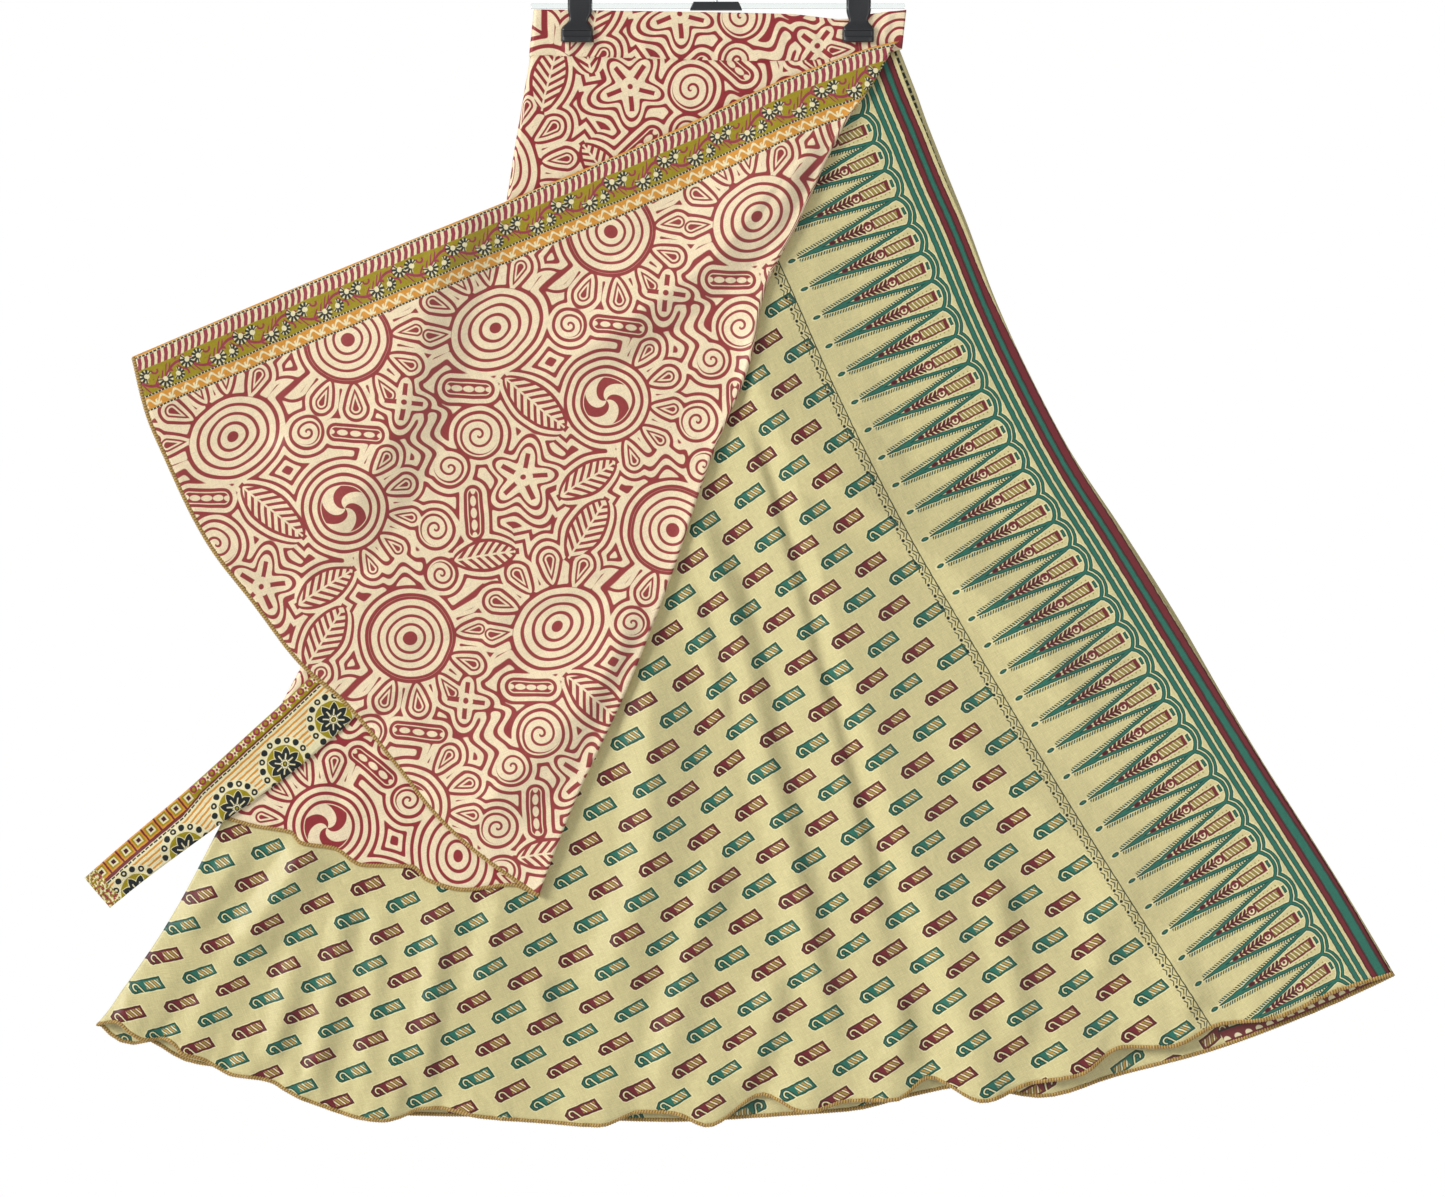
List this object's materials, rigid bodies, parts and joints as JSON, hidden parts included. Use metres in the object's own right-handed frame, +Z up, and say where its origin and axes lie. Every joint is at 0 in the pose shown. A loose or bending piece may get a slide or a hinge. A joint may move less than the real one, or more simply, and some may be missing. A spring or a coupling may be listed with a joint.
{
  "type": "wrap skirt on a clip hanger",
  "caption": "Two-layer wrap skirt with a waistband and ties, its short outer layer's front folded back as a flap, held by its waistband on a hanger with two clips.",
  "frame": {"origin": "the hook's seat: the inner top of the hanger's hook, where it hangs on a rail", "axes": "+Z up, -Y towards the front of the skirt, which shows the folded-back flap, +X towards the skirt's open edge"},
  "size_m": [1.0742, 0.0212, 0.9874],
  "materials": {
    "waistband_cloth": "cream and maroon printed satin",
    "short_layer_cloth": "cream and maroon printed satin with an olive and orange border",
    "long_layer_cloth": "khaki satin with small slanted motifs and a teal and maroon border",
    "tie_cloth": "printed satin in olive, orange and maroon",
    "overlock_thread": "gold-brown thread",
    "clear_bar": "clear gloss",
    "black_plastic": "satin black",
    "steel_wire": "bright wire"
  },
  "bodies": {
    "root": {"waistband": "waistband_cloth", "short_layer": "short_layer_cloth", "long_layer": "long_layer_cloth", "tie_front": "tie_cloth", "tie_back": "tie_cloth", "hanger_bar": "clear_bar", "hanger_plate": "black_plastic", "hanger_hook": "steel_wire", "clip_left": "black_plastic", "clip_right": "black_plastic"}
  },
  "joints": []
}
